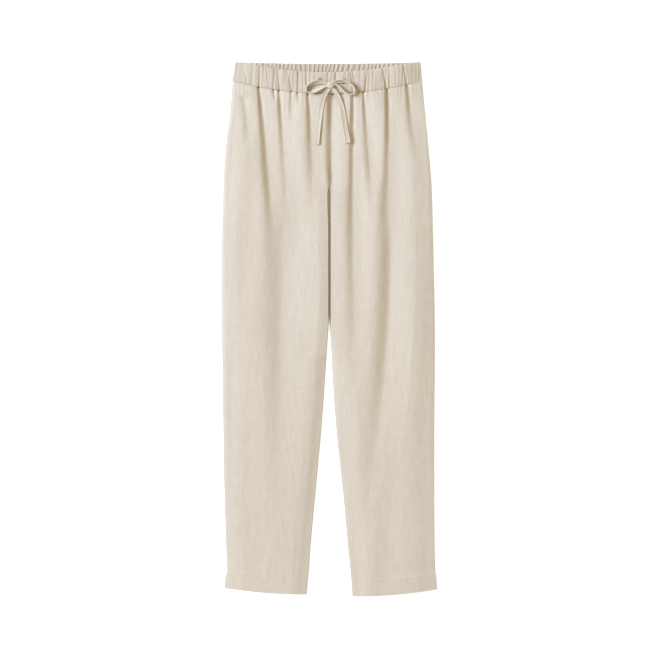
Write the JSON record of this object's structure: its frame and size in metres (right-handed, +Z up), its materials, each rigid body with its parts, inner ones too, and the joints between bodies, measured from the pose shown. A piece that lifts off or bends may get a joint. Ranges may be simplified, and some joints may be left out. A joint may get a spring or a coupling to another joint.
{
  "type": "tapered trousers",
  "caption": "Tapered pull-on linen trousers laid out flat, with a gathered elastic waistband and a drawstring tied in a bow.",
  "frame": {"origin": "centre of the garment's outline, on the surface that it lies on", "axes": "+Y towards the waist, +X towards the wearer's left side, +Z up out of the front of the cloth"},
  "size_m": [0.3931, 0.9719, 0.0207],
  "materials": {
    "linen": "plain-woven linen, ecru, slubbed, matt",
    "drawstring": "folded self-fabric tape, matt",
    "eyelet_metal": "dark metal, satin"
  },
  "bodies": {
    "root": {"front_waistband": "linen", "back_waistband": "linen", "front_right_leg": "linen", "front_left_leg": "linen", "back_right_leg": "linen", "back_left_leg": "linen", "right_eyelet": "eyelet_metal", "left_eyelet": "eyelet_metal", "drawstring_right_lead": "drawstring", "drawstring_right_loop": "drawstring", "drawstring_right_tail": "drawstring", "drawstring_left_lead": "drawstring", "drawstring_left_loop": "drawstring", "drawstring_left_tail": "drawstring", "drawstring_knot": "drawstring"}
  },
  "joints": []
}
